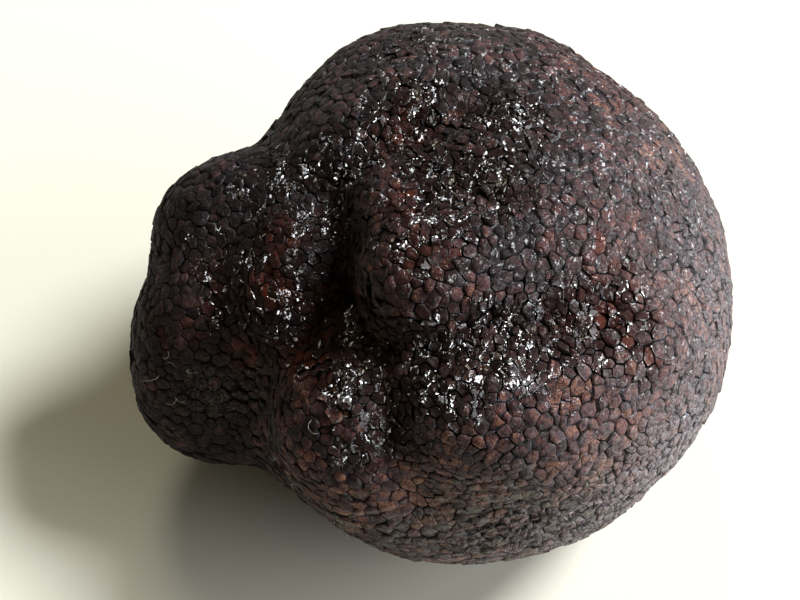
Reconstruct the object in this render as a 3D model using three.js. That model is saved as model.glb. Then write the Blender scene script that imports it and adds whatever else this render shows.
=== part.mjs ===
// A fresh black truffle, grown as one piece: a round body with two joined side lobes, the furrows and
// hollows between them, and a skin of low, many-sided warts. It rests on a small flat spot.
// Millimetres, +Z up, +X along its length. The origin is under the middle of its box, on the ground.

import * as THREE from 'three';
import { ConvexHull } from 'three/addons/math/ConvexHull.js';

// ---- Driving dimensions (mm) ----

// The lobes, placed from the heart: the point inside the body that every bearing and height is seen from.
const LOBES = [
  { name: 'main body', centre: [4.1, 0, 0], radii: [23.6, 25.3, 21.5] },
  { name: 'upper side lobe', centre: [-16.8, 3.8, 2.0], radii: [8.0, 7.4, 10.4] },
  { name: 'lower side lobe', centre: [-18.3, -3.2, -4.6], radii: [9.6, 9.2, 12.0] },
];
const LOBE_BLEND = 1.2; // how softly one lobe runs into the next
const MEAN_RADIUS = 23.0; // sphere on which the width of a furrow or a mound is measured
const OUTSIDE = 40.0; // a distance from the heart that is outside every lobe
const MARCH_STEP = 0.8; // step of the search for the surface, from outside to the heart
const REST_DROP = 20.3; // from the heart down to the flat spot that the truffle rests on

// Furrows: half width, then the points that each runs through, as [bearing, height, depth].
// A bearing of 0 degrees is +X and 90 is +Y; a height of 90 degrees is straight up.
const FURROWS = [
  {
    name: 'neck, between the side lobes and the main body',
    width: 4.0,
    way: [[146, 42, 0.3], [-176, 60, 2.4], [-142, 58, 3.8], [-131, 46, 4.8], [-134, 31, 4.2],
      [-143, 10, 2.8], [-148, -10, 1.2], [-152, -30, 0.2]],
  },
  {
    name: 'under the brow',
    width: 2.8,
    way: [[-131, 46, 1.6], [-109, 42, 2.2], [-91, 43, 2.0], [-73, 46, 1.8], [-54, 43, 2.3],
      [-41, 38, 2.0], [-31, 40, 0.8]],
  },
  {
    name: 'crown',
    width: 3.2,
    way: [[-178, 58, 0.8], [165, 72, 1.6], [120, 80, 1.8], [62, 77, 1.3], [42, 64, 0.5]],
  },
  { name: 'cheek', width: 2.5, way: [[-109, 42, 0.4], [-102, 32, 1.4], [-98, 23, 1.4], [-93, 12, 0.7]] },
  { name: 'chin', width: 3.6, way: [[-92, 10, 0.7], [-73, 9, 1.1], [-58, 8, 0.5]] },
  {
    name: 'far side',
    width: 3.8,
    way: [[48, 26, 0.3], [52, 8, 1.6], [66, -6, 2.4], [90, -12, 2.2], [116, -6, 1.0]],
  },
  { name: 'nape', width: 4.0, way: [[150, 24, 0.3], [144, 4, 2.2], [150, -18, 2.0], [162, -38, 0.8]] },
  { name: 'back', width: 3.0, way: [[112, 20, 0.4], [100, 6, 1.8], [90, -12, 1.0]] },
  {
    name: 'right side',
    width: 3.2,
    way: [[-34, -22, 0.4], [-14, -14, 1.5], [10, -12, 1.9], [30, -26, 1.2], [52, -32, 0.4]],
  },
];

// Mounds, and hollows where the rise is below zero, as { bearing, height, rise, width }.
const MOUNDS = [
  { name: 'far shoulder', bearing: 103, height: 34, rise: 2.3, width: 8.5 },
  { name: 'brow', bearing: -88, height: 62, rise: 1.6, width: 5.5 },
  { name: 'jowl', bearing: -118, height: 16, rise: 1.5, width: 6.0 },
  { name: 'right ridge', bearing: -38, height: 31, rise: 1.3, width: 4.5 },
  { name: 'cheek', bearing: -70, height: 26, rise: 1.1, width: 6.0 },
  { name: 'right face', bearing: -10, height: 4, rise: -0.7, width: 6.0 },
  { name: 'crown hollow', bearing: -84, height: 79, rise: -1.5, width: 3.4 },
  { name: 'right hollow', bearing: -18, height: 33, rise: -1.2, width: 4.0 },
  { name: 'foot of the side lobe', bearing: -152, height: -16, rise: 1.2, width: 5.0 },
  { name: 'far hollow', bearing: 16, height: 20, rise: -0.9, width: 5.0 },
  { name: 'notch filling', bearing: 148, height: 27, rise: 0.6, width: 4.0 },
  { name: 'throat', bearing: -138, height: -26, rise: 1.0, width: 4.5 },
  { name: 'low right face', bearing: -45, height: -12, rise: -0.8, width: 5.5 },
  { name: 'far cheek', bearing: 64, height: 14, rise: 0.8, width: 5.0 },
  { name: 'far heel', bearing: 120, height: -28, rise: 1.0, width: 8.0 },
  { name: 'right heel', bearing: -8, height: -26, rise: 0.8, width: 7.0 },
];

// Long low swells all over, as { amount, waves along X, Y and Z, phase }.
const SWELLS = [
  { amount: 0.25, waves: [7, 3, 5], phase: 0.4 },
  { amount: 0.22, waves: [-4, 8, 3], phase: 1.9 },
  { amount: 0.18, waves: [3, -6, 9], phase: 3.1 },
];

// The skin: low warts with cracks between them, about three times life size.
const WART_PITCH = 2.9; // least distance between the middles of two warts
const PITCH_VARIES = 0.16; // share by which that distance differs from wart to wart
const WART_TOP = 0.74; // width of a wart's raised top, as a share of the wart
const WART_RISE = 0.3; // edge of the top above the mean surface
const WART_PEAK = 0.3; // middle of the top above its edge
const CRACK_DROP = 0.5; // floor of the cracks below the mean surface
const DARTS = 20000; // random places tried for a wart
const TURNING_ROUNDS = 12; // most rounds of turning edges between neighbouring warts
const SEED = 827;

// ---- Small tools ----

function seededRandom(seed) {
  let state = seed;
  return () => {
    state = (state + 0x6d2b79f5) | 0;
    let bits = Math.imul(state ^ (state >>> 15), 1 | state);
    bits = (bits + Math.imul(bits ^ (bits >>> 7), 61 | bits)) ^ bits;
    return ((bits ^ (bits >>> 14)) >>> 0) / 4294967296;
  };
}

function toward(bearing, height) {
  const turn = THREE.MathUtils.degToRad(bearing);
  const lift = THREE.MathUtils.degToRad(height);
  return new THREE.Vector3(Math.cos(turn) * Math.cos(lift), Math.sin(turn) * Math.cos(lift), Math.sin(lift));
}

// ---- The body: how far the surface lies from the heart, in each direction ----

// Below zero inside the lobes and above zero outside, in about millimetres
function lobesField(point) {
  let sum = 0;
  for (const { centre, radii } of LOBES) {
    const meanRadius = (radii[0] + radii[1] + radii[2]) / 3;
    const scaled = Math.hypot(
      (point.x - centre[0]) / radii[0],
      (point.y - centre[1]) / radii[1],
      (point.z - centre[2]) / radii[2],
    );
    sum += Math.exp(-((scaled - 1) * meanRadius) / LOBE_BLEND);
  }
  return -LOBE_BLEND * Math.log(sum);
}

// Walks in from outside to the first point inside the lobes, then halves the last step
function lobesRadius(direction) {
  const isInside = (radius) => lobesField(direction.clone().multiplyScalar(radius)) < 0;
  let inner = OUTSIDE;
  while (!isInside(inner)) inner -= MARCH_STEP;
  let outer = inner + MARCH_STEP;
  for (let halving = 0; halving < 14; halving++) {
    const middle = (inner + outer) / 2;
    if (isInside(middle)) inner = middle;
    else outer = middle;
  }
  return (inner + outer) / 2;
}

// A furrow's stretches, as straight lines between points of the mean sphere
const STRETCHES = FURROWS.map(({ width, way }) => way.slice(1).map((to, index) => {
  const from = way[index];
  const start = toward(from[0], from[1]).multiplyScalar(MEAN_RADIUS);
  const end = toward(to[0], to[1]).multiplyScalar(MEAN_RADIUS);
  return { line: new THREE.Line3(start, end), depths: [from[2], to[2]], width };
}));

const MOUND_SPOTS = MOUNDS.map(({ bearing, height, rise, width }) => (
  { spot: toward(bearing, height).multiplyScalar(MEAN_RADIUS), rise, width }
));

// How deep the furrows are here: each counts with the deepest of its stretches
function furrowDepth(direction) {
  const here = direction.clone().multiplyScalar(MEAN_RADIUS);
  const nearest = new THREE.Vector3();
  let depth = 0;
  for (const stretches of STRETCHES) {
    let deepest = 0;
    for (const { line, depths, width } of stretches) {
      const share = line.closestPointToPointParameter(here, true);
      line.at(share, nearest);
      const floor = THREE.MathUtils.lerp(depths[0], depths[1], share);
      deepest = Math.max(deepest, floor * Math.exp(-((here.distanceTo(nearest) / width) ** 2)));
    }
    depth += deepest;
  }
  return depth;
}

function moundRise(direction) {
  const here = direction.clone().multiplyScalar(MEAN_RADIUS);
  let rise = 0;
  for (const mound of MOUND_SPOTS) {
    rise += mound.rise * Math.exp(-((here.distanceTo(mound.spot) / mound.width) ** 2));
  }
  for (const { amount, waves, phase } of SWELLS) {
    rise += amount * Math.sin(direction.dot(new THREE.Vector3(...waves)) + phase);
  }
  return rise;
}

function surfaceRadius(direction) {
  return lobesRadius(direction) - furrowDepth(direction) + moundRise(direction);
}

// A point above (or below) the mean surface, cut off at the flat spot
function skinPoint(direction, above) {
  let radius = surfaceRadius(direction) + above;
  if (direction.z < 0) radius = Math.min(radius, REST_DROP / -direction.z);
  return direction.clone().multiplyScalar(radius);
}

// ---- The skin ----

// Throws darts at the surface and keeps each that lands clear of the warts already there
function wartMiddles() {
  const random = seededRandom(SEED);
  const middles = [];
  for (let dart = 0; dart < DARTS; dart++) {
    const height = 2 * random() - 1;
    const turn = 2 * Math.PI * random();
    const flat = Math.sqrt(1 - height ** 2);
    const direction = new THREE.Vector3(flat * Math.cos(turn), flat * Math.sin(turn), height);
    const place = skinPoint(direction, 0);
    const clearance = WART_PITCH * (1 + PITCH_VARIES * (2 * random() - 1));
    if (middles.every((other) => other.place.distanceTo(place) > clearance)) {
      middles.push({ direction, place });
    }
  }
  return middles;
}

// A closed net of triangles between the middles. For each way along an edge it holds the third middle
// of the triangle on the left of that way.
class TriangleNet {
  constructor(middles) {
    this.middles = middles;
    this.thirds = new Map();
  }

  way(from, to) {
    return from * this.middles.length + to;
  }

  ends(way) {
    return [Math.floor(way / this.middles.length), way % this.middles.length];
  }

  third(from, to) {
    return this.thirds.get(this.way(from, to));
  }

  add(a, b, c) {
    this.thirds.set(this.way(a, b), c);
    this.thirds.set(this.way(b, c), a);
    this.thirds.set(this.way(c, a), b);
  }

  // Angle at one middle between two others, on the surface itself
  angle(at, a, b) {
    const { place } = this.middles[at];
    const toA = this.middles[a].place.clone().sub(place);
    const toB = this.middles[b].place.clone().sub(place);
    return toA.angleTo(toB);
  }

  facesOut(a, b, c) {
    const [first, second, third] = [a, b, c].map((index) => this.middles[index].direction);
    return first.clone().cross(second).dot(third) > 0;
  }

  // Turns the edge between a and b to run across its two triangles, where that makes them more even
  turnEdge(a, b) {
    const c = this.third(a, b);
    const d = this.third(b, a);
    const isUneven = this.angle(c, a, b) + this.angle(d, a, b) > Math.PI;
    if (!isUneven || !this.facesOut(a, d, c) || !this.facesOut(d, b, c)) return;
    this.thirds.delete(this.way(a, b));
    this.thirds.delete(this.way(b, a));
    this.add(a, d, c);
    this.add(d, b, c);
  }
}

// The hull of the directions closes all round. Its edges are then turned to suit the surface.
function netBetween(middles) {
  const net = new TriangleNet(middles);
  const numberOf = new Map(middles.map((middle, index) => [middle.direction, index]));
  for (const { edge } of new ConvexHull().setFromPoints([...numberOf.keys()]).faces) {
    const vertices = [edge.tail(), edge.head(), edge.next.head()];
    net.add(...vertices.map((vertex) => numberOf.get(vertex.point)));
  }
  for (let round = 0; round < TURNING_ROUNDS; round++) {
    for (const way of [...net.thirds.keys()]) {
      const [a, b] = net.ends(way);
      if (a < b && net.thirds.has(way)) net.turnEdge(a, b);
    }
  }
  return net;
}

// Each wart's middle with its corners in order, counter-clockwise as seen from outside. Three warts meet
// at a corner, in the middle of the triangle between them.
function wartOutlines(middles) {
  const net = netBetween(middles);
  const corners = new Map();
  const cornerBetween = (...three) => {
    const name = three.sort((one, other) => one - other).join();
    if (!corners.has(name)) {
      const sum = new THREE.Vector3();
      for (const index of three) sum.add(middles[index].place);
      corners.set(name, sum.normalize());
    }
    return corners.get(name);
  };
  const outlines = new Map();
  for (const way of net.thirds.keys()) {
    const [middle, first] = net.ends(way);
    if (outlines.has(middle)) continue;
    const outline = [];
    let neighbour = first;
    do {
      const next = net.third(middle, neighbour);
      outline.push(cornerBetween(middle, neighbour, next));
      neighbour = next;
    } while (neighbour !== first);
    outlines.set(middle, outline);
  }
  return outlines;
}

// Every wart is a low table: walls up from the cracks, and a top that rises to its middle
function skinGeometry() {
  const positions = [];
  const triangles = [];
  const addPoint = (point) => positions.push(point.x, point.y, point.z) / 3 - 1;
  const crackPoints = new Map();
  const crackPoint = (corner) => {
    if (!crackPoints.has(corner)) crackPoints.set(corner, addPoint(skinPoint(corner, -CRACK_DROP)));
    return crackPoints.get(corner);
  };
  const middles = wartMiddles();
  for (const [index, outline] of wartOutlines(middles)) {
    const middle = middles[index].direction;
    const peak = addPoint(skinPoint(middle, WART_RISE + WART_PEAK));
    const low = outline.map(crackPoint);
    const high = outline.map((corner) => {
      const direction = middle.clone().lerp(corner, WART_TOP).normalize();
      return addPoint(skinPoint(direction, WART_RISE));
    });
    for (let side = 0; side < outline.length; side++) {
      const next = (side + 1) % outline.length;
      triangles.push(low[side], low[next], high[next]);
      triangles.push(low[side], high[next], high[side]);
      triangles.push(high[side], high[next], peak);
    }
  }
  const geometry = new THREE.BufferGeometry();
  geometry.setAttribute('position', new THREE.Float32BufferAttribute(positions, 3));
  geometry.setIndex(triangles);
  return geometry;
}

// Sets the body down: its flat spot at the ground, and the middle of its box over the origin
function setDown(geometry) {
  geometry.computeBoundingBox();
  const middle = geometry.boundingBox.getCenter(new THREE.Vector3());
  geometry.translate(-middle.x, -middle.y, REST_DROP);
  return geometry;
}

const skinMaterial = new THREE.MeshStandardMaterial({ color: 0x2e1d19, roughness: 0.6, metalness: 0 });

const truffle = new THREE.Mesh(setDown(skinGeometry()), skinMaterial);
truffle.name = 'truffle';

const group = new THREE.Group();
group.add(truffle);

export default group;
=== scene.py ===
"""A fresh black truffle: a fine warty skin over the CAD body, a few pale threads, and a plain stage."""

import math

import bmesh
import bpy
import numpy as np
from mathutils import Matrix, Vector
from mathutils.bvhtree import BVHTree


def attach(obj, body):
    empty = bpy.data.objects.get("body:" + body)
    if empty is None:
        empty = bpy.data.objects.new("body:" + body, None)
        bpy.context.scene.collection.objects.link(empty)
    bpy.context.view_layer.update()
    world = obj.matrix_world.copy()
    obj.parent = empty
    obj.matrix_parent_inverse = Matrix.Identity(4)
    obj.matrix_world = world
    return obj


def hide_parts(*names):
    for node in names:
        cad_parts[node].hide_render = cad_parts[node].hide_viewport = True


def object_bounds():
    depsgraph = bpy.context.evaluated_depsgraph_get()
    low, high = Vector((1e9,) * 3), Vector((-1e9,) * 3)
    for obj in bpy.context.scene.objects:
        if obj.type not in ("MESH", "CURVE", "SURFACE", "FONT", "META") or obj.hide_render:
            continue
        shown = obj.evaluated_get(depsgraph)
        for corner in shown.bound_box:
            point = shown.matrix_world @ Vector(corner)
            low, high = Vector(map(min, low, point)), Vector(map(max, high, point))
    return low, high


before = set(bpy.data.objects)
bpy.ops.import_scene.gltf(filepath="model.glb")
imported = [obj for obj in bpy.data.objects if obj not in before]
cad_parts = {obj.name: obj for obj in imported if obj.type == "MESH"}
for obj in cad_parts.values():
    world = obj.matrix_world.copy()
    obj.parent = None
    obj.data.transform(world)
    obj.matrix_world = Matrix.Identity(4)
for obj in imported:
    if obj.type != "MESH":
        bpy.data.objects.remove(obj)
CAD_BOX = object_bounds()

bl_info = {
    "name": "Black truffle",
    "version": (1, 0, 0),
    "blender": (4, 5, 0),
    "location": "3D View > Sidebar > Truffle",
    "description": "Builds the skin and the threads of a black truffle over its CAD body",
    "category": "Add Mesh",
}

MM = 0.001  # a millimetre, in the scene's metres
NODE = "truffle"
BODY = "root"
SKIN = "truffle_skin"

# ---- The body's form: millimetres and degrees, as seen from the heart inside it ----
# A bearing of 0 degrees is +X and 90 is +Y; a height of 90 degrees is straight up.

LOBES = (  # centre, radii
    ((4.1, 0.0, 0.0), (23.6, 25.3, 21.5)),  # main body
    ((-16.8, 3.8, 2.0), (8.0, 7.4, 10.4)),  # upper side lobe
    ((-18.3, -3.2, -4.6), (9.6, 9.2, 12.0)),  # lower side lobe
)
LOBE_BLEND = 1.2  # how softly one lobe runs into the next
MEAN_RADIUS = 23.0  # sphere on which the width of a furrow or a mound is measured
OUTSIDE = 40.0  # a distance from the heart that is outside every lobe
MARCH_STEP = 0.8  # step of the search for the surface, from outside to the heart
HALVINGS = 14  # of that step, once the surface is between two steps
NORMAL_STEP = 0.015  # radians between the points from which a normal is taken
REST_DROP = 20.3  # from the heart down to the flat spot

FURROWS = {  # name: half width, then the points it runs through as (bearing, height, depth)
    "neck": (4.0, (
        (146, 42, 0.3), (-176, 60, 2.4), (-142, 58, 3.8), (-131, 46, 4.8), (-134, 31, 4.2),
        (-143, 10, 2.8), (-148, -10, 1.2), (-152, -30, 0.2))),
    "under the brow": (2.8, (
        (-131, 46, 1.6), (-109, 42, 2.2), (-91, 43, 2.0), (-73, 46, 1.8), (-54, 43, 2.3),
        (-41, 38, 2.0), (-31, 40, 0.8))),
    "crown": (3.2, ((-178, 58, 0.8), (165, 72, 1.6), (120, 80, 1.8), (62, 77, 1.3), (42, 64, 0.5))),
    "cheek": (2.5, ((-109, 42, 0.4), (-102, 32, 1.4), (-98, 23, 1.4), (-93, 12, 0.7))),
    "chin": (3.6, ((-92, 10, 0.7), (-73, 9, 1.1), (-58, 8, 0.5))),
    "far side": (3.8, ((48, 26, 0.3), (52, 8, 1.6), (66, -6, 2.4), (90, -12, 2.2), (116, -6, 1.0))),
    "nape": (4.0, ((150, 24, 0.3), (144, 4, 2.2), (150, -18, 2.0), (162, -38, 0.8))),
    "back": (3.0, ((112, 20, 0.4), (100, 6, 1.8), (90, -12, 1.0))),
    "right side": (3.2, (
        (-34, -22, 0.4), (-14, -14, 1.5), (10, -12, 1.9), (30, -26, 1.2), (52, -32, 0.4))),
}

MOUNDS = (  # bearing, height, rise (below zero in a hollow), width
    (103, 34, 2.3, 8.5),  # far shoulder
    (-88, 62, 1.6, 5.5),  # brow
    (-118, 16, 1.5, 6.0),  # jowl
    (-38, 31, 1.3, 4.5),  # right ridge
    (-70, 26, 1.1, 6.0),  # cheek
    (-10, 4, -0.7, 6.0),  # right face
    (-84, 79, -1.5, 3.4),  # crown hollow
    (-18, 33, -1.2, 4.0),  # right hollow
    (-152, -16, 1.2, 5.0),  # foot of the side lobe
    (16, 20, -0.9, 5.0),  # far hollow
    (148, 27, 0.6, 4.0),  # notch filling
    (-138, -26, 1.0, 4.5),  # throat
    (-45, -12, -0.8, 5.5),  # low right face
    (64, 14, 0.8, 5.0),  # far cheek
    (120, -28, 1.0, 8.0),  # far heel
    (-8, -26, 0.8, 7.0),  # right heel
)

SWELLS = (  # amount, waves along X, Y and Z, phase
    (0.25, (7, 3, 5), 0.4),
    (0.22, (-4, 8, 3), 1.9),
    (0.18, (3, -6, 9), 3.1),
)

# ---- Where the skin is wet, rusty, pale (partly painted sheen), creased, dim (painted shade in places) or dusty: (bearing, height, reach, amount) ----

WET_FURROWS = {  # furrow: how wet it is
    "neck": 0.4, "under the brow": 0.9, "crown": 0.6, "cheek": 0.7, "nape": 0.8,
    "far side": 0.7, "back": 0.6, "right side": 0.5, "chin": 0.2,
}
WET_BROADER = 1.1  # the wet runs a little wider than the furrow
WET_FULL_DEPTH = 1.6  # depth of furrow from which it is as wet as it gets
WET_SPOTS = (
    (102, 75, 4.0, 0.9), (121, 72, 4.0, 0.8), (0, 90, 4.0, 0.9), (-93, 77, 4.0, 1.0),  # crown
    (-92, 67, 3.5, 0.8), (-68, 77, 3.5, 0.8), (32, 70, 4.0, 0.9), (-7, 74, 3.5, 0.7),
    (-31, 73, 3.5, 0.8),
    (158, 63, 3.5, 0.45),  # slope above the neck
    (161, 41, 3.0, 0.45), (169, 47, 3.0, 0.55), (178, 37, 3.5, 0.35),  # neck and side lobe
    (-174, 25, 3.0, 0.5), (-162, 52, 3.5, 0.4), (-166, 38, 3.5, 0.5), (-158, 26, 3.5, 0.9),
    (-150, 28, 3.5, 0.75), (-146, 22, 3.0, 0.7),
    (-136, 27, 3.0, 0.8),  # above the jowl
    (-122, 36, 4.0, 0.9), (-112, 34, 4.0, 1.0), (-102, 33, 4.0, 0.9),  # under the brow
    (-101, 24, 3.5, 0.9), (-104, 18, 3.0, 0.5), (-87, 40, 4.0, 0.9), (-71, 43, 3.5, 0.9),
    (-55, 40, 3.5, 0.8), (-45, 37, 3.5, 0.8), (-40, 31, 3.0, 0.4),
    (-15, 35, 4.0, 0.3),  # right hollow
    (100, 50, 6.0, 0.35),  # far shoulder
    (60, 20, 5.0, 0.4), (150, -5, 5.0, 0.5),  # hidden sides
)
RUST_SPOTS = (
    (-164, 45, 2.2, 0.8), (-152, 36, 2.6, 0.8), (-137, 25, 2.0, 1.0),  # neck
    (-133, 27, 2.4, 0.9), (-125, 30, 2.2, 0.8),
    (-133, 44, 3.0, 0.5), (-149, 14, 1.6, 0.8),
    (-163, 9, 3.0, 0.35), (-160, -2, 3.0, 0.25), (-167, 20, 2.5, 0.35),  # side lobe
    (-121, 75, 1.8, 0.9),  # beside the crown hollow
    (120, 76, 1.8, 0.8),  # crown furrow
    (-28, 47, 4.0, 0.6), (-38, 33, 4.5, 0.6), (-50, 20, 5.0, 0.4),  # right ridge
    (-95, 60, 4.0, 0.3),  # brow
    (40, 30, 5.0, 0.4), (100, -10, 5.0, 0.5), (170, -20, 4.0, 0.5),  # far side and back
)
# Pale spots: partly a dry pale bloom, partly painted sheen that lightens the lit right side and a few
# other places
PALE_AND_SHEEN_SPOTS = (
    (-12, 4, 15.0, 0.64), (-42, -4, 10.0, 1.0), (8, 26, 9.0, 0.07),  # right face
    (-62, -5, 8.0, 0.85), (-88, -4, 7.0, 0.3), (-52, 12, 5.0, 0.3),  # chin
    (-89, 26, 4.5, 0.12),  # below the furrow
    (-174, 27, 4.0, 0.1),  # side lobe
    (95, 59, 9.0, 0.09),  # far shoulder
)
CREASE_SPOTS = (  # where fine level wrinkles run
    (-76, 3, 6.5, 1.0), (-60, 1, 5.5, 0.8), (-104, -6, 6.0, 0.6),  # chin
    (-128, -6, 4.0, 0.5),  # throat
    (70, -18, 7.0, 0.7),  # far heel
    (150, -22, 5.0, 0.6),  # nape
)
# Dim spots: painted shade in the neck furrow and on the side lobe, a darker tone on the brow and cheek
DIM_SPOTS = (  # where the tops are darker
    (-40, 58, 9.0, 0.42), (-90, 60, 6.0, 0.1),  # brow
    (-171, 50, 7.0, 1.0), (-142, 40, 5.0, 0.9),  # neck
    (-60, 27, 6.0, 0.22),  # cheek
    (-170, -5, 13.0, 0.42),  # side lobe
)
DUST_SPOTS = (
    (-149, 2, 3.0, 0.6),  # pit of the neck
    (-81, 3, 6.0, 0.8), (-62, 3, 5.0, 0.7), (-98, -6, 5.0, 0.4), (-120, -20, 4.0, 0.3),  # chin
    (140, -20, 5.0, 0.7), (60, -20, 6.0, 0.5),  # hidden sides
)

THREADS = (  # bearing, height, reach, how many
    (2, 39, 1.2, 7), (9, 46, 2.5, 4),  # right, above the ridge
    (-68, 5, 1.5, 4), (-74, -4, 4.0, 7), (-90, -3, 4.0, 4),  # chin
    (-113, -10, 2.5, 8), (-124, -12, 2.5, 6),  # under the jowl
    (-159, 6, 1.6, 3), (-157, 0, 1.6, 3),  # side lobe
    (-48, 46, 3.0, 3),  # under the brow
    (-30, 24, 4.0, 3),  # right side
    (-120, 28, 4.0, 4),  # above the jowl
    (90, -16, 6.0, 12), (140, -20, 5.0, 9), (50, -10, 6.0, 8), (120, 14, 5.0, 5),  # hidden sides
    (20, -22, 5.0, 7), (-170, -24, 5.0, 7),
)

# ---- Measures that grow towards one side: its (bearing, height), value square to it, growth, least ----

LIT = ((10, 30), 0.6, 0.8, 0.0)  # low on the smoother side lobe
# Brown: tops warmer towards the lower right, blacker towards the left and back, which paints shade on the
# side away from the lights
BROWN = ((-45, 5), 0.43, 0.45, -0.4)
BROWN_LEAST = -0.4  # once the dim spots are taken off
# Facing grows towards the lights; it also sets where the painted rim highlight shows
FACING = ((-20, 50), 0.4, 2.0, 0.0)  # how openly the skin faces the room
GLOSS = ((22, 28), 0.1, 0.7, 0.03)

# ---- The skin's rings, from the floor of the cracks to the middle of each wart ----

CRACK, SHOULDER, TOP_EDGE, MIDDLE = range(4)
RING_STEP = 0.05  # between two rings until they are moved to their places
WART_DARTS = 100000  # random places tried for a wart
PLATE_DARTS = 8000  # random places tried for the middle of a plate of warts

# ---- How the warts differ: a pair is the least and the most of a random draw ----

WART_GAPS = (0.7, 1.6)  # shares of the wart size
WET_CLOSER = 0.34  # how much closer the warts stand where it is wet
CREASED_CLOSER = 0.12  # and where it is creased
CREASED_FLATTER = 0.4  # creased warts are lower than they are broad
PLATE_GAPS = (0.7, 1.3)  # shares of the plate size
PLATE_LIFTS = (-0.5, 0.5)  # shares of the plate dome
PLATE_FALL = 2.2  # how steeply a plate's dome falls towards its edge
PLATE_TONE = 0.4  # share of a wart's tone that its whole plate has
TONE_CONTRAST = 1.25
FAINT_SHARE = 0.45  # share of the cracks inside a plate that are faint
PALE_FAINTER = 0.3  # and how many more are where the skin is pale
FAINT_CRACKS = (0.02, 0.3)  # shares of the crack depth
PLAIN_CRACKS = (0.35, 0.85)
PLATE_CRACKS = (0.85, 1.35)  # between two plates
PALE_SHALLOWER = 0.35
SHADED_CRACKS = 0.4  # share of its depth that a crack keeps on the smoother side
WET_DEEPER = 0.5
JOINING = 2.5  # warts join across cracks shallower than one over this
CORNER_STRAY = 0.12  # millimetres
MIDDLE_STRAY = 0.096
RISES = (0.3, 1.7)  # shares of the wart rise
SHADED_RISE = 0.6
WET_RISE = 1.6
PEAKS = (-0.3, 0.7)  # of the middle above the edge of the top
TILT = 0.07
WET_TILT = 3.0  # how many times more the wet warts tilt
BREADTHS = (0.8, 1.12)  # of the top
TOP_SHARE, LIT_NARROWER, WET_NARROWER = 0.88, 0.07, 0.27
TOP_WOBBLE = (0.86, 1.14)
SHOULDER_SHARE, CRACK_WIDTH = 0.97, 0.1
CRACK_WIDTHS = (0.5, 1.5)
NARROWEST_SIDE = 0.04  # of a wart, between its shoulder and its top
SHOULDER_DROP = 0.3  # share of the rise by which the shoulder lies below the top
SHOULDER_STEP = 0.02  # and millimetres
BUMPS = 0.018  # millimetres by which any point stands off
WET_BUMPS = 2.0
WRINKLE_HEIGHT = 0.2
WRINKLE_TURN = 5.2  # radians of a wrinkle's wave in a millimetre
WRINKLE_SLANT = 0.3

# ---- Patterns on the skin ----

MEASURES = ("crack", "bevel", "tone", "brown", "gloss", "facing", "wet", "rust", "dust", "pale", "crease")
FOLD_SLOPE = 17  # degrees
FOLD_STRETCH = (0.22, 0.22, 1.0)  # folds are longer along the skin than up it
RELIEF_DEPTH = 0.17  # millimetres

FACETED = 0.3  # wetness above which the skin glitters in flat facets
COARSE_FACET, COARSE_LEAN = 0.85, 0.95  # millimetres, and how far such facets lean, beside an upright of 1
FINE_FACET, FINE_LEAN = 0.27, 0.5
FACET_SQUASH = (1.15, 0.62, 0.7)  # facets are longer across the truffle and upward than along it
LEVEL_PULL = (0.40, -0.27, 0.90)  # a film of liquid lies more level than the skin under it

# ---- The threads' meshes ----

THREAD_RINGS = 8  # rings of corners along a thread
THREAD_SIDES = 5
THREAD_SCATTER = 0.625  # of the roots about the middle of their spot, as a share of its reach
THREAD_LENGTHS = (0.5, 1.5)  # shares of the usual length
THREAD_WANDER = 0.5  # radians that a thread strays from its curl at each ring
THREAD_LIFTS = (0.2, 1)
THREAD_CLEAR = 0.6  # share of its thickness by which a thread's middle clears the skin
THREAD_TAPER = 0.55
THREAD_GAP = 10.0  # between two threads while they still stand straight, a radius thick and a step long
FACE_ORDER = Vector((1, 0.1, 0.003))  # faces are put in order along it, as extruding leaves them in any

# ---- The camera, from the heart ----

CAMERA_DISTANCE = 204 * MM
CAMERA_ASIDE = -2.75 * MM
CAMERA_UP = -0.37 * MM
SENSOR_WIDTH = 36
NEAREST_SEEN = 0.01

# ---- The lights: (name, bearing, height, tint), far off in the way they come from ----

LIGHTS = (
    ("lamp", 18, 50, (0.95, 0.97, 1.0)),
    ("window", -16, 19, (0.92, 0.95, 1.0)),
    ("fill", 102, 55, (1.0, 0.93, 0.74)),
)
LIGHT_DISTANCE = 0.6
FLOOR_CLEARANCE = 0.02  # millimetres below the truffle


# ---- The form as a formula ----

def toward(bearing, height):
    """Unit direction from the heart."""
    turn, lift = math.radians(bearing), math.radians(height)
    flat = math.cos(lift)
    return np.array((math.cos(turn) * flat, math.sin(turn) * flat, math.sin(lift)))


def unit(vectors):
    return vectors / np.linalg.norm(vectors, axis=-1)[..., None]


def lobes_field(points):
    """Below zero inside the lobes and above zero outside, in about millimetres."""
    total = 0.0
    for centre, radii in LOBES:
        scaled = np.linalg.norm((points - np.array(centre)) / np.array(radii), axis=1)
        total = total + np.exp(-(scaled - 1) * np.mean(radii) / LOBE_BLEND)
    return -LOBE_BLEND * np.log(total)


def lobes_radius(directions):
    """Walks in from outside to the first point inside the lobes, then halves the last step."""
    inner = np.full(len(directions), OUTSIDE)
    outside = np.ones(len(directions), bool)
    while outside.any():
        walkers = np.nonzero(outside)[0]
        is_out = lobes_field(directions[walkers] * inner[walkers, None]) >= 0
        inner[walkers[is_out]] -= MARCH_STEP
        outside[walkers[~is_out]] = False
    outer = inner + MARCH_STEP
    for _halving in range(HALVINGS):
        middle = (inner + outer) / 2
        is_inside = lobes_field(directions * middle[:, None]) < 0
        inner = np.where(is_inside, middle, inner)
        outer = np.where(is_inside, outer, middle)
    return (inner + outer) / 2


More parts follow.
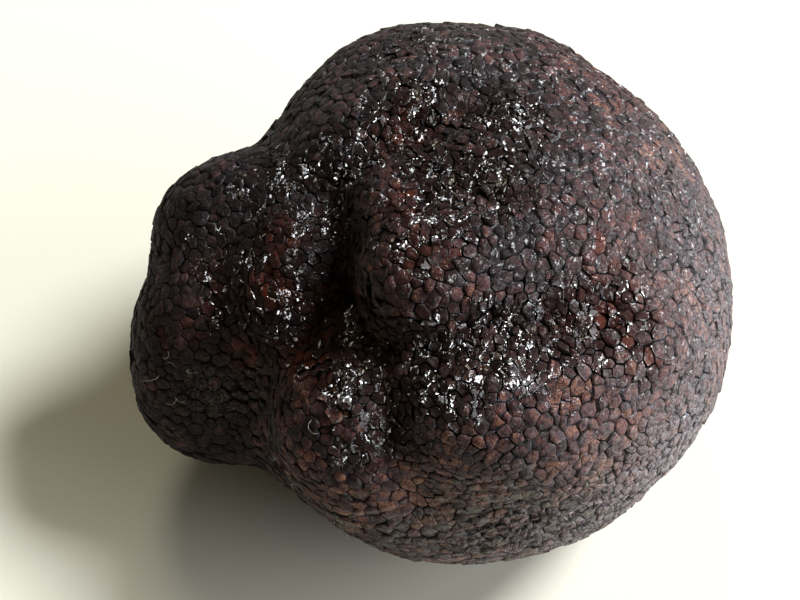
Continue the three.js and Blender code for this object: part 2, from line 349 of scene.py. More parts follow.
def furrow_depth(directions, width, way):
    """How deep one furrow is in each direction: the deepest of its stretches counts."""
    here = directions * MEAN_RADIUS
    deepest = np.zeros(len(directions))
    for start, end in zip(way[:-1], way[1:]):
        begin = toward(start[0], start[1]) * MEAN_RADIUS
        span = toward(end[0], end[1]) * MEAN_RADIUS - begin
        share = np.clip((here - begin) @ span / (span @ span), 0, 1)
        away = np.linalg.norm(here - begin - share[:, None] * span, axis=1)
        floor = start[2] + share * (end[2] - start[2])
        deepest = np.maximum(deepest, floor * np.exp(-(away / width) ** 2))
    return deepest


def spot_amount(directions, bearing, height, reach, amount):
    """A soft round spot on the mean sphere."""
    away = np.linalg.norm(directions - toward(bearing, height), axis=1) * MEAN_RADIUS
    return amount * np.exp(-(away / reach) ** 2)


def surface_radius(directions):
    radius = lobes_radius(directions)
    for width, way in FURROWS.values():
        radius -= furrow_depth(directions, width, way)
    for bearing, height, rise, width in MOUNDS:
        radius += spot_amount(directions, bearing, height, width, rise)
    for amount, waves, phase in SWELLS:
        radius += amount * np.sin(directions @ np.array(waves) + phase)
    return radius


def surface_places(directions):
    """Points of the smooth surface, in millimetres from the heart."""
    return directions * surface_radius(directions)[:, None]


def surface_normals(directions, places):
    """Outward normals of the smooth surface, from two short steps along it."""
    is_level = np.abs(directions[:, 2:]) < 0.9
    aside = unit(np.cross(directions, np.where(is_level, (0.0, 0, 1), (1.0, 0, 0))))
    along = np.cross(directions, aside)
    to_aside = surface_places(unit(directions + NORMAL_STEP * aside)) - places
    to_along = surface_places(unit(directions + NORMAL_STEP * along)) - places
    return unit(np.cross(to_aside, to_along))


def wetness(directions):
    """How wet the skin is: in furrows that face up most of all, and in spots of their own."""
    wet = np.zeros(len(directions))
    upward = np.clip(0.1 + 1.6 * directions[:, 2], 0.3, 1)
    for name, share in WET_FURROWS.items():
        width, way = FURROWS[name]
        depth = furrow_depth(directions, width * WET_BROADER, way)
        wet = np.maximum(wet, share * upward * np.clip(depth / WET_FULL_DEPTH, 0, 1))
    for spot in WET_SPOTS:
        wet = np.maximum(wet, spot_amount(directions, *spot))
    return np.clip(wet, 0, 1)


def spots(directions, places):
    """The strongest of some soft round spots, in each direction."""
    total = np.zeros(len(directions))
    for place in places:
        total = np.maximum(total, spot_amount(directions, *place))
    return total


def grown(directions, side, square, growth, least):
    """A measure that grows towards one side, between its least and 1."""
    return np.clip(square + growth * directions @ toward(*side), least, 1)


def from_share(least, share):
    """Carries 0 to 1 over to the range from least to 1."""
    return least + (1 - least) * share


# ---- The skin ----

def throw_darts(rng, throws, clearance_at):
    """Random directions, each kept if its place is clear of those kept before it."""
    heights = rng.uniform(-1, 1, throws)
    turns = rng.uniform(0, 2 * math.pi, throws)
    flats = np.sqrt(1 - heights ** 2)
    directions = np.stack((flats * np.cos(turns), flats * np.sin(turns), heights), axis=1)
    places = surface_places(directions)
    clearances = clearance_at(directions)  # along X, Y and Z
    box_size = float(clearances.max())
    boxes = np.floor(places / box_size).astype(int)
    kept = []
    by_box = {}
    steps = [(x, y, z) for x in (-1, 0, 1) for y in (-1, 0, 1) for z in (-1, 0, 1)]
    for dart in range(throws):
        column, row, layer = boxes[dart]
        nearby = [other for x, y, z in steps for other in by_box.get((column + x, row + y, layer + z), ())]
        if nearby:
            gaps = (places[nearby] - places[dart]) / clearances[dart]
            if (gaps * gaps).sum(axis=1).min() < 1:
                continue
        by_box.setdefault((column, row, layer), []).append(dart)
        kept.append(dart)
    return directions[kept]


def move_points(mesh, places):
    for vertex, place in zip(mesh.verts, places):
        vertex.co = place


def cell_mesh(directions):
    """A closed mesh with one many-sided face for each wart, its corners on the smooth surface."""
    mesh = bmesh.new()
    for direction in directions:
        mesh.verts.new(direction)
    bmesh.ops.convex_hull(mesh, input=mesh.verts[:])
    inside = [vertex for vertex in mesh.verts if not vertex.link_faces]
    bmesh.ops.delete(mesh, geom=inside, context="VERTS")
    move_points(mesh, surface_places(unit(np.array([vertex.co for vertex in mesh.verts]))))
    bmesh.ops.beautify_fill(mesh, faces=mesh.faces[:], edges=mesh.edges[:], method="ANGLE")
    middles = mesh.verts[:]
    between = mesh.edges[:]
    bmesh.ops.poke(mesh, faces=mesh.faces[:], center_mode="MEAN")
    bmesh.ops.rotate_edges(mesh, edges=between)
    bmesh.ops.dissolve_verts(mesh, verts=middles)
    return mesh


def number_rings(mesh):
    """Adds two rings and a middle inside each wart, and notes each vertex's ring, wart and corner."""
    ring, wart, corner = (mesh.verts.layers.int.new(name) for name in ("ring", "wart", "corner"))
    for number, vertex in enumerate(mesh.verts):
        vertex[corner] = number
    warts = mesh.faces[:]
    for level in (SHOULDER, TOP_EDGE):
        bmesh.ops.inset_individual(mesh, faces=warts, thickness=RING_STEP)
        for number, face in enumerate(warts):
            for vertex in face.verts:
                vertex[ring] = level
                vertex[wart] = number
        for face in warts:
            for vertex in face.verts:
                around = [edge.other_vert(vertex) for edge in vertex.link_edges]
                vertex[corner] = next(other[corner] for other in around if other[ring] == level - 1)
    for vertex in bmesh.ops.poke(mesh, faces=warts)["verts"]:
        vertex[ring] = MIDDLE
        vertex[wart] = vertex.link_edges[0].other_vert(vertex)[wart]
    layers = (ring, wart, corner)
    return [np.array([vertex[layer] for vertex in mesh.verts]) for layer in layers]


def corner_neighbours(mesh):
    """For each corner, the warts that meet there."""
    mesh.faces.index_update()
    return [[face.index for face in vertex.link_faces] for vertex in mesh.verts]


def by_ring(rings, crack, shoulder, top_edge, middle):
    """Takes each point's value from the array, or the number, that belongs to its ring."""
    levels = (CRACK, SHOULDER, TOP_EDGE)
    return np.select([rings == level for level in levels], [crack, shoulder, top_edge], middle)


def gather(meetings, values, way):
    """Makes one value for each corner from the values of the warts that meet there."""
    return np.array([way([values[wart] for wart in meeting]) for meeting in meetings])


def lay_plates(rng, settings, wart_places):
    """Groups the warts into domed plates: each wart's plate and lift, and how many plates there are."""
    plate_size = settings.plate_size / MM

    def clearance_at(directions):
        return plate_size * rng.uniform(*PLATE_GAPS, (len(directions), 1))

    plate_places = surface_places(throw_darts(rng, PLATE_DARTS, clearance_at))
    gaps = np.linalg.norm(wart_places[:, None] - plate_places[None], axis=2)
    plate_of = gaps.argmin(axis=1)
    reach = gaps.min(axis=1) / plate_size
    plate_lift = rng.uniform(*PLATE_LIFTS, len(plate_places))
    lift = settings.plate_dome / MM * (1 - PLATE_FALL * reach ** 2 + plate_lift[plate_of])
    return plate_of, lift, len(plate_places)


def plain_cracks(rng, pale):
    """Depth of the crack at each corner of the skin inside a plate: faint or middling."""
    faint = rng.uniform(0, 1, len(pale)) < FAINT_SHARE + PALE_FAINTER * pale
    return np.where(faint, rng.uniform(*FAINT_CRACKS, len(pale)), rng.uniform(*PLAIN_CRACKS, len(pale)))


def wart_tones(rng, plate_of, plate_count):
    """A tone from 0 to 1 for each wart, partly its own and partly its plate's."""
    own = rng.uniform(0, 1, len(plate_of))
    shared = rng.uniform(0, 1, plate_count)[plate_of]
    return np.clip(0.5 + TONE_CONTRAST * ((1 - PLATE_TONE) * own + PLATE_TONE * shared - 0.5), 0, 1)


def ring_shares(rng, rings, depth, lit, wet, breadth):
    """How far out each point of a wart lies, from 0 at its middle to 1 at its corners."""
    shoulder = SHOULDER_SHARE - CRACK_WIDTH * depth * rng.uniform(*CRACK_WIDTHS, len(rings))
    top = (TOP_SHARE - LIT_NARROWER * lit - WET_NARROWER * wet) * breadth
    top = np.minimum(top * rng.uniform(*TOP_WOBBLE, len(rings)), shoulder - NARROWEST_SIDE)
    return by_ring(rings, 1.0, shoulder, top, 0.0)


def wrinkles(places):
    """Nearly level waves that wander, from -1 to 1."""
    wander = 1.4 * np.sin(places[:, 0] * 0.9) + 0.9 * np.sin(places[:, 1] * 1.3 + 1)
    return np.sin((places[:, 2] - WRINKLE_SLANT * places[:, 0]) * WRINKLE_TURN + wander)


def point_measures(rings, directions, normals, depth, lit, tone, rustiness):
    """What colours the skin, at each of its points."""
    # The sides of the warts are painted darker down towards the cracks, as shade, less so where the skin
    # is less lit
    side_shown = np.clip(0.1 + 1.3 * depth, 0, 1) * from_share(0.35, lit)
    # Brown less the dim spots: partly a warmer tone, partly painted shade on the left, the back and in the
    # neck
    brown = grown(directions, *BROWN) - spots(directions, DIM_SPOTS)
    return {
        # crack paints shade into the cracks, and thins the film there
        "crack": by_ring(rings, np.clip(depth * 1.7, 0.1, 1), 0.3 * depth, 0.0, 0.0),
        "bevel": by_ring(rings, side_shown, 0.7 * side_shown, 0.0, 0.0),
        "tone": tone,
        "brown": np.clip(brown, BROWN_LEAST, 1),
        "gloss": grown(directions, *GLOSS),
        "facing": grown(normals, *FACING),
        "wet": wetness(directions),
        "rust": spots(directions, RUST_SPOTS) * from_share(0.12, rustiness),
        "dust": spots(directions, DUST_SPOTS),
        "pale": spots(directions, PALE_AND_SHEEN_SPOTS),
        "crease": spots(directions, CREASE_SPOTS),
    }


def shape_skin(mesh, settings, rng):
    """Moves the rings of every wart to their places, and returns the measures that colour the skin."""
    corner_places = np.array([vertex.co for vertex in mesh.verts])
    meetings = corner_neighbours(mesh)
    wart_places = np.array([face.calc_center_median() for face in mesh.faces])
    wart_count = len(wart_places)
    ways = unit(corner_places)
    squareness = (ways * surface_normals(ways, corner_places)).sum(axis=1)  # less on steep ground
    strays = rng.normal(0, CORNER_STRAY, corner_places.shape)
    corner_places = corner_places + strays * squareness[:, None] ** 2
    wart_wet = wetness(unit(wart_places))
    wart_lit = grown(unit(wart_places), *LIT)
    rings, warts, corners = number_rings(mesh)
    wet, lit = wart_wet[warts], wart_lit[warts]

    # Cracks: deep where plates meet, faint or middling elsewhere
    plate_of, lift, plate_count = lay_plates(rng, settings, wart_places)
    corner_pale = spots(unit(corner_places), PALE_AND_SHEEN_SPOTS)
    crack = plain_cracks(rng, corner_pale)
    own = wart_tones(rng, plate_of, plate_count)
    for number, meeting in enumerate(meetings):
        if len({plate_of[wart] for wart in meeting}) > 1:
            crack[number] = rng.uniform(*PLATE_CRACKS) * (1 - PALE_SHALLOWER * corner_pale[number])
    depth = crack[corners] * from_share(SHADED_CRACKS, lit)

    # Each wart has its own height, tilt, breadth of top and place for its middle
    wart_rise = settings.wart_rise / MM
    rise = wart_rise * rng.uniform(*RISES, wart_count)
    rise = (rise * (from_share(SHADED_RISE, wart_lit) + WET_RISE * wart_wet))[warts]
    peak = wart_rise * rng.uniform(*PEAKS, wart_count)
    tilt = rng.normal(0, TILT, (wart_count, 3)) * (1 + WET_TILT * wart_wet[:, None])
    breadth = rng.uniform(*BREADTHS, wart_count)
    share = ring_shares(rng, rings, depth, lit, wet, breadth[warts])[:, None]
    aside = rng.normal(0, MIDDLE_STRAY, (len(rings), 3)) * (rings == MIDDLE)[:, None]
    places = wart_places[warts] * (1 - share) + corner_places[corners] * share + aside
    directions = unit(places)
    places = surface_places(directions)
    normals = surface_normals(directions, places)

    # Heights above the mean surface: where the cracks are faint, a wart's shoulder joins its neighbours'
    top = lift[warts] + rise + ((places - wart_places[warts]) * tilt[warts]).sum(axis=1)
    joined = np.clip(1 - depth * JOINING, 0, 1)
    shoulder = top - SHOULDER_DROP * rise - SHOULDER_STEP
    shoulder += (gather(meetings, lift, np.mean)[corners] + 0.4 * wart_rise - shoulder) * joined
    floor = gather(meetings, lift, np.min)[corners] + 0.5 * wart_rise * joined
    floor -= settings.crack_depth / MM * depth * (1 + WET_DEEPER * wet)
    height = by_ring(rings, floor, shoulder, top, top + peak[warts])
    height += rng.normal(0, BUMPS, len(height)) * (1 + WET_BUMPS * wet)
    height += WRINKLE_HEIGHT * wrinkles(places) * spots(directions, CREASE_SPOTS)
    places = places + normals * height[:, None]
    places[:, 2] = np.maximum(places[:, 2], -REST_DROP)
    move_points(mesh, places)

    rustiness = rng.uniform(0, 1, wart_count)[warts] ** 3
    tone = np.where(rings == CRACK, gather(meetings, own, np.mean)[corners], own[warts])
    return point_measures(rings, directions, normals, depth, lit, tone, rustiness)


# ---- The threads ----

def thread_ways(rng, settings):
    """Curling ways over the smooth surface: for each thread, a row of directions from the heart."""
    starts = []
    for bearing, height, reach, count in THREADS:
        scatter = THREAD_SCATTER * reach / MEAN_RADIUS
        starts.extend(toward(bearing, height) + rng.normal(0, scatter, (count, 3)))
    directions = unit(np.array(starts))
    count = len(directions)
    headings = unit(rng.normal(0, 1, (count, 3)))
    steps = settings.length / MM * rng.uniform(*THREAD_LENGTHS, count) / (THREAD_RINGS - 1)
    turns = settings.curl * rng.uniform(-1, 1, count) / (THREAD_RINGS - 1)
    rows = []
    for _ring in range(THREAD_RINGS):
        rows.append(directions)
        headings = unit(headings - directions * (headings * directions).sum(axis=1)[:, None])
        aside = np.cross(directions, headings)
        bend = turns + rng.normal(0, THREAD_WANDER, count)
        headings = headings * np.cos(bend)[:, None] + aside * np.sin(bend)[:, None]
        directions = unit(surface_places(directions) + headings * steps[:, None])
    return np.stack(rows, axis=1)


def skin_places(skin, ways, heart):
    """Where each direction meets the finished skin, in millimetres from the heart."""
    tree = BVHTree.FromObject(skin, bpy.context.evaluated_depsgraph_get())
    places = []
    for way in ways.reshape(-1, 3):
        hit = tree.ray_cast(heart + Vector(way) * OUTSIDE * MM, -Vector(way))[0]
        places.append((hit - heart) / MM)
    return np.array(places).reshape(ways.shape)


def shape_threads(mesh, settings, skin, heart):
    """Curls a straight bundle of closed tubes over the skin: each is rooted in it, and its tip is free."""
    rng = np.random.default_rng(settings.seed)
    ways = thread_ways(rng, settings)
    count = len(ways)
    for number in range(count):
        bmesh.ops.create_circle(mesh, cap_ends=True, segments=THREAD_SIDES, radius=1,
                                matrix=Matrix.Translation((number * THREAD_GAP, 0, 0)))
    tips = mesh.faces[:]
    for ring in range(THREAD_RINGS - 1):
        extruded = bmesh.ops.extrude_face_region(mesh, geom=tips)["geom"]
        if ring > 0:
            bmesh.ops.delete(mesh, geom=tips, context="FACES_ONLY")
        corners = [part for part in extruded if isinstance(part, bmesh.types.BMVert)]
        bmesh.ops.translate(mesh, vec=(0, 0, 1), verts=corners)
        tips = [part for part in extruded if isinstance(part, bmesh.types.BMFace)]
    mesh.faces.sort(key=lambda face: face.calc_center_median().dot(FACE_ORDER))

    places = skin_places(skin, ways, heart)
    along = np.linspace(0, 1, THREAD_RINGS)
    thickness = settings.thickness / MM
    lifts = settings.lift / MM * rng.uniform(*THREAD_LIFTS, count) ** 2
    arch = np.sin(along * math.pi * 0.5)[None] * lifts[:, None] + thickness * THREAD_CLEAR
    arch[:, 0] = -thickness
    places = places + ways * arch[:, :, None]
    places[:, 1:-1] = (places[:, :-2] + 2 * places[:, 1:-1] + places[:, 2:]) / 4
    tangents = unit(np.gradient(places, axis=1))
    sides = unit(np.cross(tangents, ways))
    fronts = np.cross(sides, tangents)
    radii = thickness / 2 * (1 - THREAD_TAPER * along)
    for vertex in mesh.verts:
        number, ring = round(vertex.co.x / THREAD_GAP), round(vertex.co.z)
        across = vertex.co.x - number * THREAD_GAP
        offset = across * sides[number, ring] + vertex.co.y * fronts[number, ring]
        vertex.co = places[number, ring] + radii[ring] * offset


def thread_material(settings):
    material, tree, shader = new_material("pale thread")
    stained = spread(tree, grain(tree, 0.5), 0.35, 0.65)
    colour = mix_colours(tree, stained, settings.pale_thread, settings.dark_thread)
    feed(tree, shader, {"Base Color": colour, "Roughness": 0.6, "Specular IOR Level": 0.3})
    return material


def add_object(name, data):
    """Puts data into the scene as an object."""
    added = bpy.data.objects.new(name, data)
    bpy.context.scene.collection.objects.link(added)
    return added


def add_mesh_object(name, mesh, material):
    """Turns a bmesh into an object, and frees it."""
    data = bpy.data.meshes.new(name)
    mesh.to_mesh(data)
    mesh.free()
    data.materials.append(material)
    return add_object(name, data)


def finish_mesh(mesh, name, material, origin):
    """Makes an object of a mesh modelled in millimetres from the heart."""
    bmesh.ops.triangulate(mesh, faces=mesh.faces[:])
    bmesh.ops.scale(mesh, vec=(MM, MM, MM), verts=mesh.verts[:])
    bmesh.ops.translate(mesh, vec=origin, verts=mesh.verts[:])
    bmesh.ops.recalc_face_normals(mesh, faces=mesh.faces[:])
    return add_mesh_object(name, mesh, material)


def heart_place():
    """The heart's place in the frame: the body's box is centred in the CAD box, on its flat spot."""
    ways = [toward(bearing, height) for bearing in range(0, 360, 2) for height in range(-88, 90, 2)]
    places = surface_places(np.array(ways))
    middle = (places.min(axis=0) + places.max(axis=0)) / 2 * MM
    low, high = Vector(CAD_BOX[0]), Vector(CAD_BOX[1])
    heart = (low + high) / 2 - Vector(middle)
    heart.z = low.z + REST_DROP * MM
    return heart


# ---- Shading ----

def feed(tree, node, inputs):
    """Joins each input that is given as a socket, and sets any other value on the input itself."""
    for name, value in inputs.items():
        if isinstance(value, bpy.types.NodeSocket):
            tree.links.new(value, node.inputs[name])
        else:
            node.inputs[name].default_value = value


def add_node(tree, kind, inputs=None, **settings):
    node = tree.nodes.new(kind)
    for name, value in settings.items():
        setattr(node, name, value)
    feed(tree, node, inputs or {})
    return node


def measure(tree, name):
    """A measure that the mesh carries at each of its points."""
    return add_node(tree, "ShaderNodeAttribute", attribute_name=name).outputs["Fac"]


def calculate(tree, operation, *values, clamp=False):
    node = add_node(tree, "ShaderNodeMath", dict(enumerate(values)), operation=operation, use_clamp=clamp)
    return node.outputs[0]


def multiply(tree, first, second, clamp=False):
    return calculate(tree, "MULTIPLY", first, second, clamp=clamp)


def reckon(tree, operation, *values, **named):
    """Like calculate, for vectors."""
    inputs = dict(enumerate(values)) | named
    return add_node(tree, "ShaderNodeVectorMath", inputs, operation=operation).outputs[0]


def mix_colours(tree, share, first, second):
    node = add_node(tree, "ShaderNodeMix", {0: share, 6: first, 7: second}, data_type="RGBA")
    return node.outputs[2]


def spread(tree, value, low, high, to_low=0.0, to_high=1.0):
    """Carries the values from low to high over to another range, and no further."""
    inputs = {0: value, 1: low, 2: high, 3: to_low, 4: to_high}
    return add_node(tree, "ShaderNodeMapRange", inputs, interpolation_type="SMOOTHSTEP").outputs[0]


def object_place(tree):
    return add_node(tree, "ShaderNodeTexCoord").outputs["Object"]


def noise(tree, place, size, detail, roughness):
    """Noise whose blotches are about so many millimetres wide."""
    inputs = {"Vector": place, "Scale": 1 / (size * MM), "Detail": detail, "Roughness": roughness}
    return add_node(tree, "ShaderNodeTexNoise", inputs)


def grain(tree, size, detail=2.0, roughness=0.55):
    return noise(tree, object_place(tree), size, detail, roughness).outputs["Fac"]


def stirred_place(tree, size, amount):
    """The place on the object, moved aside by noise about so many millimetres wide."""
    place = object_place(tree)
    stir = noise(tree, place, size, 2.0, 0.5).outputs["Color"]
    return reckon(tree, "MULTIPLY_ADD", stir, (amount * MM,) * 3, place)


def cells(tree, place, size, **settings):
    return add_node(tree, "ShaderNodeTexVoronoi", {"Vector": place, "Scale": 1 / (size * MM)}, **settings)


def glitter(tree, size, lean):
    """Flat facets so many millimetres wide: which way each leans, and a number of its own from 0 to 1."""
    place = reckon(tree, "MULTIPLY", stirred_place(tree, size, 1.2 * size), FACET_SQUASH)
    draws = cells(tree, place, size).outputs["Color"]
    aside = reckon(tree, "MULTIPLY_ADD", draws, (2.0,) * 3, (-1.0,) * 3)
    own = add_node(tree, "ShaderNodeSeparateColor", {0: draws}).outputs[2]
    return reckon(tree, "SCALE", aside, Scale=lean), own


def folds(tree, size):
    """Nearly level streaks about so many millimetres thick, from 0 to 1."""
    turn = {"Vector": stirred_place(tree, 2.0, 1.0), "Angle": math.radians(FOLD_SLOPE)}
    place = add_node(tree, "ShaderNodeVectorRotate", turn, rotation_type="Y_AXIS").outputs[0]
    return noise(tree, reckon(tree, "MULTIPLY", place, FOLD_STRETCH), size, 3.0, 0.6).outputs["Fac"]


def hairlines(tree, size):
    """Thin lines between cells about so many millimetres wide, in patches."""
    edges = cells(tree, stirred_place(tree, size, 0.9 * size), size, feature="DISTANCE_TO_EDGE")
    line = spread(tree, edges.outputs["Distance"], 0.0, 0.10, 1.0, 0.0)
    return multiply(tree, line, spread(tree, grain(tree, 1.6), 0.42, 0.6))


def new_material(name):
    material = bpy.data.materials.new(name)
    material.use_nodes = True
    return material, material.node_tree, material.node_tree.nodes["Principled BSDF"]


def dry_tops(tree, settings, tone, brown):
    """The dry tops, from black through maroon to orange-brown, wart by wart and blotch by blotch."""
    # Warmth follows brown, so it holds painted shade on the left, the back and in the neck
    warmth = calculate(tree, "MULTIPLY_ADD", brown, 0.62, -0.17)
    warmth = calculate(tree, "MULTIPLY_ADD", tone, 0.6, warmth)
    blotch = spread(tree, grain(tree, 0.8, detail=3.0), 0.3, 0.7, -0.36, 0.36)
    stain = spread(tree, grain(tree, 3.4, detail=3.0), 0.35, 0.65, -0.10, 0.10)
    warmth = calculate(tree, "ADD", calculate(tree, "ADD", warmth, blotch), stain)
    ramp = add_node(tree, "ShaderNodeValToRGB", {"Fac": warmth})
    stops = ramp.color_ramp.elements
    stops[0].position, stops[0].color = 0.0, settings.black_top
    stops[1].position, stops[1].color = 1.0, settings.orange_top
    stops.new(0.28).color = settings.dark_top
    stops.new(0.52).color = settings.maroon_top
    stops.new(0.78).color = settings.brown_top
    return ramp.outputs["Color"]


def skin_colour(tree, settings, on, speck, split, fold):
    """The dry tops, and over them one layer after another: how much of it, and its colour."""
    crack, bevel, facing, crease = on["crack"], on["bevel"], on["facing"], on["crease"]
    specks = spread(tree, speck, 0.42, 0.66)
    # Blotches of the pale bloom and its painted sheen
    bloom_and_sheen = spread(tree, grain(tree, 0.26, detail=1.0), 0.35, 0.65, 0.22, 0.88)
    # Painted highlight: a pale bluish rim on the sides of the warts next to the cracks, in patches
    painted_edge_highlight = multiply(tree, spread(tree, bevel, 0.12, 0.5), spread(tree, grain(tree, 0.9), 0.51, 0.64))
    soaked = spread(tree, bevel, 0.0, 0.5, 0.84, 0.98)
    # Painted shade along the cracks, fading in and out
    crack_shade = multiply(tree, crack, spread(tree, grain(tree, 0.7), 0.35, 0.6, 0.45, 1.1))
    powder = multiply(tree, on["dust"], spread(tree, grain(tree, 0.3, detail=4.0), 0.45, 0.62))
    layers = (
        (multiply(tree, specks, 0.6), settings.black_top),
        # pale bloom, partly painted sheen
        (multiply(tree, on["pale"], bloom_and_sheen), settings.pale),
        # painted shade down the sides of the warts
        (multiply(tree, bevel, 0.5), settings.bevel),
        # painted highlight on the wart edges, strongest where they face the lights
        (multiply(tree, painted_edge_highlight, spread(tree, facing, 0.2, 1.0, 0.35, 0.6)), settings.rim_highlight),
        # crests of the folds: partly grey-green dust, partly a painted highlight
        (multiply(tree, crease, spread(tree, fold, 0.52, 0.61, 0.0, 0.85)), settings.dust),  # crests
        # painted shade in the troughs of the folds
        (multiply(tree, crease, spread(tree, fold, 0.40, 0.49, 0.97, 0.0)), settings.crack),  # troughs
        (multiply(tree, spread(tree, on["wet"], 0.0, 0.8), soaked), settings.wet),
        (multiply(tree, on["rust"], 0.8, clamp=True), settings.rust),
        # painted shade in the hairline cracks and along the cracks between warts
        (multiply(tree, split, 0.6), settings.crack),
        (spread(tree, crack_shade, 0.1, 0.75), settings.crack),
        (multiply(tree, powder, 0.5), settings.dust),
    )
    colour = dry_tops(tree, settings, on["tone"], on["brown"])
    for share, tint in layers:
        colour = mix_colours(tree, share, colour, tint)
    return colour


def film_weight(tree, on, group, own):
    """A glossy film lies thick in the furrows and, in thin flecks, over the rest of the right side."""
    bevel = on["bevel"]
    edges = multiply(tree, bevel, spread(tree, grain(tree, 1.1), 0.45, 0.6))
    flecks = spread(tree, own, 0.5, 0.62, 0.03, 0.42)
    thin = multiply(tree, on["gloss"], calculate(tree, "MAXIMUM", flecks, edges))
    thick = multiply(tree, spread(tree, on["wet"], 0.08, 0.7), spread(tree, bevel, 0.02, 0.4, 0.5, 1.0))
    thick = multiply(tree, thick, spread(tree, group, 0.26, 0.36, 0.1, 1.0))
    film = multiply(tree, calculate(tree, "MAXIMUM", thick, thin), on["facing"])
    film = multiply(tree, film, spread(tree, on["crack"], 0.3, 1.1, 1.0, 0.15))
    return calculate(tree, "SUBTRACT", film, on["dust"], clamp=True)


def skin_material(settings):
    material, tree, shader = new_material("truffle skin")
    on = {name: measure(tree, name) for name in MEASURES}
    patch = spread(tree, grain(tree, 2.2, detail=4.0), 0.35, 0.65, -0.3, 0.35)
    patch = multiply(tree, patch, spread(tree, on["wet"], 0.03, 0.5))
    wet = calculate(tree, "ADD", on["wet"], patch, clamp=True)
    on["wet"] = wet
    speck = grain(tree, 0.16, detail=2.0)
    split = hairlines(tree, 0.75)
    fold = folds(tree, 0.6)

    # The skin itself is matt, least so on the sides of the warts
    rough = spread(tree, speck, 0.3, 0.7, 0.52, 0.8)
    rough = calculate(tree, "SUBTRACT", rough, multiply(tree, on["bevel"], 0.2))

    # Fine grain on the skin, and broader ripples where it is wet
    waves = multiply(tree, grain(tree, 0.5, roughness=0.5), spread(tree, wet, 0.1, 0.6, 1.0, 0.3))
    relief = calculate(tree, "MULTIPLY_ADD", speck, spread(tree, wet, 0.1, 0.7, 0.2, 0.0), waves)
    relief = calculate(tree, "MULTIPLY_ADD", split, -0.25, relief)
    relief = calculate(tree, "MULTIPLY_ADD", multiply(tree, on["crease"], fold), 3.0, relief)
    relief = {"Strength": 1.0, "Distance": RELIEF_DEPTH * MM, "Height": relief}
    normal = add_node(tree, "ShaderNodeBump", relief).outputs["Normal"]

    # The film leans towards level, and glints in small facets on larger ones
    coarse_lean, group = glitter(tree, COARSE_FACET, spread(tree, wet, 0.15, 0.5, 0.35, COARSE_LEAN))
    fine_lean, own = glitter(tree, FINE_FACET, spread(tree, wet, 0.15, 0.5, 0.4, FINE_LEAN))
    pull = reckon(tree, "SCALE", LEVEL_PULL, Scale=spread(tree, on["gloss"], 0.0, 0.5, 1.7, 1.0))
    facets = normal
    for lean in (pull, coarse_lean, fine_lean):
        facets = reckon(tree, "ADD", facets, lean)

    feed(tree, shader, {
        "Base Color": skin_colour(tree, settings, on, speck, split, fold),
        "Roughness": rough,
        "Specular IOR Level": 0.07,
        "Sheen Weight": 0.03,
        "Sheen Roughness": 0.5,
        "Sheen Tint": (0.85, 0.9, 1.0, 1),
        "Normal": normal,
        "Coat Weight": film_weight(tree, on, group, own),
        "Coat Roughness": 0.08,
        "Coat IOR": 1.72,
        "Coat Normal": reckon(tree, "NORMALIZE", facets),
    })
    return material


# ---- What a user sets ----

def length_of(name, description, millimetres):
    default = millimetres * MM
    return bpy.props.FloatProperty(
        name=name, description=description, default=default, min=0, unit="LENGTH", precision=5)


def colour_of(name, description, red, green, blue):
    default = (red, green, blue, 1)
    return bpy.props.FloatVectorProperty(
        name=name, description=description, default=default, size=4, min=0, max=1, subtype="COLOR")


def angle_of(name, description, degrees):
    return bpy.props.FloatProperty(
        name=name, description=description, default=math.radians(degrees), unit="ROTATION")


def strength_of(name, description, value):
    return bpy.props.FloatProperty(name=name, description=description, default=value, min=0)


class TruffleSkinSettings(bpy.types.PropertyGroup):
    wart_size: length_of("Wart size", "Least distance between the middles of two warts", 1.04)
    wart_rise: length_of("Wart rise", "Height of a wart's top above the mean surface", 0.075)
    crack_depth: length_of("Crack depth", "Depth of the deepest cracks below the mean surface", 0.28)
    plate_size: length_of("Plate size", "Least distance between the middles of two plates of warts", 2.7)
    plate_dome: length_of("Plate dome", "How far the middle of a plate stands above its edge", 0.12)
    seed: bpy.props.IntProperty(name="Seed", description="Start of the random draws", default=827)
    black_top: colour_of("Black top", "Darkest wart tops", 0.010, 0.007, 0.007)
    dark_top: colour_of("Dark top", "Dark brown wart tops", 0.027, 0.016, 0.0155)
    maroon_top: colour_of("Maroon top", "Common wart tops", 0.060, 0.029, 0.032)
    brown_top: colour_of("Brown top", "Warm wart tops", 0.114, 0.050, 0.044)
    orange_top: colour_of("Orange top", "Warmest blotches on the wart tops", 0.215, 0.090, 0.055)
    # Pale: partly a dry bloom, partly painted sheen on the lit right side
    pale: colour_of("Pale", "Dry bloom on the right side", 0.335, 0.305, 0.318)
    rust: colour_of("Rust", "Raw red-brown patches", 0.15, 0.025, 0.008)
    # Bevel is the colour of the painted shade on the sides of the warts
    bevel: colour_of("Bevel", "Sloping sides of the warts", 0.018, 0.016, 0.019)
    # The rim colour is a painted highlight on the wart edges, not wear
    rim_highlight: colour_of("Rim", "Worn edges of the warts", 0.17, 0.175, 0.20)
    wet: colour_of("Wet", "Wet skin in the furrows", 0.010, 0.0032, 0.0025)
    # Crack is the colour of the painted shade in the cracks, the hairlines and the troughs of the folds
    crack: colour_of("Crack", "Floor of the cracks", 0.001, 0.001, 0.0015)
    # Dust also lightens the crests of the folds, partly as a painted highlight
    dust: colour_of("Dust", "Grey-green powder in the hollows", 0.19, 0.182, 0.155)


